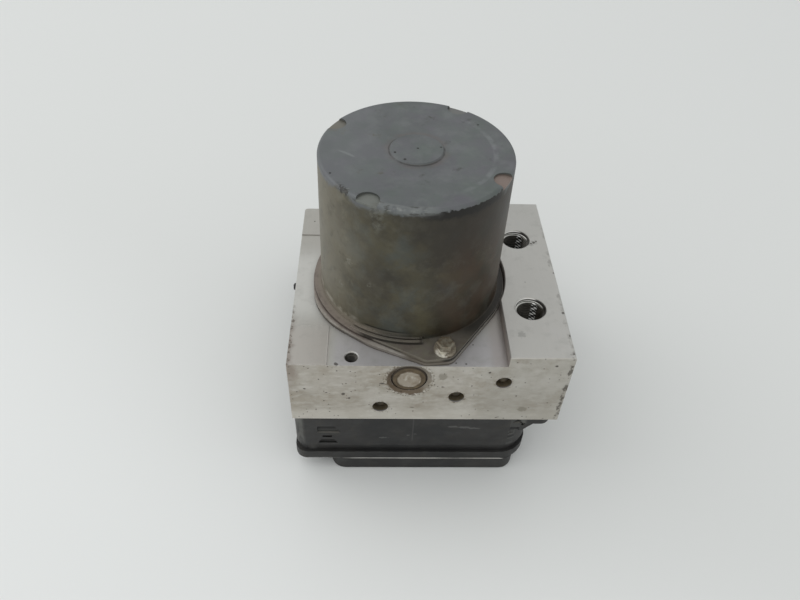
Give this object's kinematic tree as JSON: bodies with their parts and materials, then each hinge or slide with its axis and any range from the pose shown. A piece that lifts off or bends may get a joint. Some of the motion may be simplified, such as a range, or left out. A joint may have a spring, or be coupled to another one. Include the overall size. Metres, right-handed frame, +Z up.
{
  "type": "abs brake module",
  "caption": "Anti-lock brake module: milled aluminium valve block with a round pump motor on top and a plastic control unit below.",
  "frame": {"origin": "on the motor's axis, on the surface that the module rests on", "axes": "+Z up along the motor's axis, +X to the side with the wheel ports and the raised port strip, -Y to the front with the pump's plug"},
  "size_m": [0.1112, 0.1364, 0.1349],
  "materials": {
    "block_aluminium": "milled and stained",
    "plug_steel": "pressed in, dull",
    "black_plastic": "moulded, dusty",
    "inner_plastic": "moulded",
    "seal_rubber": "soft",
    "can_steel": "worn grey coating over drawn steel",
    "plate_steel": "plated, dull",
    "bolt_steel": "plated, corroded",
    "bearing_steel": "ground",
    "bush_bronze": "sintered",
    "copper": "copper",
    "core_steel": "stacked sheets",
    "magnet_ferrite": "sintered",
    "brush_carbon": "carbon",
    "pin_metal": "tinned",
    "pump_steel": "ground",
    "piston_aluminium": "turned",
    "spring_steel": "wire",
    "valve_steel": "turned",
    "coil_black": "moulded over",
    "board_green": "coated board"
  },
  "bodies": {
    "root": {"valve_block": "block_aluminium", "pump_plug_front": "plug_steel", "pump_plug_rear": "plug_steel", "accumulator_cap_front": "plug_steel", "accumulator_cap_rear": "plug_steel", "seal_balls": "plug_steel", "ecu_housing": "black_plastic", "ecu_cover": "black_plastic", "vent_plug": "black_plastic", "brush_holder": "inner_plastic", "ecu_seal": "seal_rubber", "motor_seal": "seal_rubber", "motor_can": "can_steel", "motor_end_plate": "plate_steel", "motor_bolts": "bolt_steel", "ecu_screws": "bolt_steel", "front_bearing_outer_ring": "bearing_steel", "rear_bush": "bush_bronze", "magnets": "magnet_ferrite", "brushes": "brush_carbon", "connector_pins": "pin_metal", "motor_contacts": "pin_metal", "pump_sleeve_front": "pump_steel", "pump_sleeve_rear": "pump_steel", "pump_spring_front": "spring_steel", "pump_spring_rear": "spring_steel", "accumulator_spring_front": "spring_steel", "accumulator_spring_rear": "spring_steel", "inlet_valve_1": "valve_steel", "inlet_valve_2": "valve_steel", "inlet_valve_3": "valve_steel", "inlet_valve_4": "valve_steel", "outlet_valve_1": "valve_steel", "outlet_valve_2": "valve_steel", "outlet_valve_3": "valve_steel", "outlet_valve_4": "valve_steel", "valve_coils": "coil_black", "ecu_board": "board_green"},
    "rotor": {"motor_shaft": "bearing_steel", "armature_core": "core_steel", "armature_windings": "copper", "commutator": "copper", "front_bearing_inner_ring": "bearing_steel", "front_bearing_balls": "bearing_steel", "eccentric_ring": "bearing_steel", "eccentric_rollers": "bearing_steel"},
    "pump_plunger_front": {"pump_piston_front": "pump_steel"},
    "pump_plunger_rear": {"pump_piston_rear": "pump_steel"},
    "store_piston_front": {"accumulator_piston_front": "piston_aluminium", "accumulator_seal_front": "seal_rubber"},
    "store_piston_rear": {"accumulator_piston_rear": "piston_aluminium", "accumulator_seal_rear": "seal_rubber"},
    "inlet_armature_1": {"inlet_plunger_1": "valve_steel"},
    "inlet_armature_2": {"inlet_plunger_2": "valve_steel"},
    "inlet_armature_3": {"inlet_plunger_3": "valve_steel"},
    "inlet_armature_4": {"inlet_plunger_4": "valve_steel"},
    "outlet_armature_1": {"outlet_plunger_1": "valve_steel"},
    "outlet_armature_2": {"outlet_plunger_2": "valve_steel"},
    "outlet_armature_3": {"outlet_plunger_3": "valve_steel"},
    "outlet_armature_4": {"outlet_plunger_4": "valve_steel"}
  },
  "joints": [
    {"name": "rotor_spin", "type": "hinge", "parent": "root", "child": "rotor", "pos_m": [0, 0, 0], "axis": [0, 0, 1], "continuous": true},
    {"name": "pump_stroke_front", "type": "slide", "parent": "root", "child": "pump_plunger_front", "axis": [0, 1, 0], "range_m": [0, 0.0011], "deforming": ["pump_spring_front"]},
    {"name": "pump_stroke_rear", "type": "slide", "parent": "root", "child": "pump_plunger_rear", "axis": [0, -1, 0], "range_m": [0, 0.0011], "deforming": ["pump_spring_rear"]},
    {"name": "accumulator_stroke_front", "type": "slide", "parent": "root", "child": "store_piston_front", "axis": [-1, 0, 0], "range_m": [0, 0.008], "stiffness_N_per_m": 3000, "deforming": ["accumulator_spring_front"]},
    {"name": "accumulator_stroke_rear", "type": "slide", "parent": "root", "child": "store_piston_rear", "axis": [-1, 0, 0], "range_m": [0, 0.008], "stiffness_N_per_m": 3000, "deforming": ["accumulator_spring_rear"]},
    {"name": "inlet_lift_1", "type": "slide", "parent": "root", "child": "inlet_armature_1", "axis": [0, 0, 1], "range_m": [0, 0.0003], "stiffness_N_per_m": 2000},
    {"name": "inlet_lift_2", "type": "slide", "parent": "root", "child": "inlet_armature_2", "axis": [0, 0, 1], "range_m": [0, 0.0003], "stiffness_N_per_m": 2000},
    {"name": "inlet_lift_3", "type": "slide", "parent": "root", "child": "inlet_armature_3", "axis": [0, 0, 1], "range_m": [0, 0.0003], "stiffness_N_per_m": 2000},
    {"name": "inlet_lift_4", "type": "slide", "parent": "root", "child": "inlet_armature_4", "axis": [0, 0, 1], "range_m": [0, 0.0003], "stiffness_N_per_m": 2000},
    {"name": "outlet_lift_1", "type": "slide", "parent": "root", "child": "outlet_armature_1", "axis": [0, 0, -1], "range_m": [0, 0.0003], "stiffness_N_per_m": 2000},
    {"name": "outlet_lift_2", "type": "slide", "parent": "root", "child": "outlet_armature_2", "axis": [0, 0, -1], "range_m": [0, 0.0003], "stiffness_N_per_m": 2000},
    {"name": "outlet_lift_3", "type": "slide", "parent": "root", "child": "outlet_armature_3", "axis": [0, 0, -1], "range_m": [0, 0.0003], "stiffness_N_per_m": 2000},
    {"name": "outlet_lift_4", "type": "slide", "parent": "root", "child": "outlet_armature_4", "axis": [0, 0, -1], "range_m": [0, 0.0003], "stiffness_N_per_m": 2000}
  ]
}
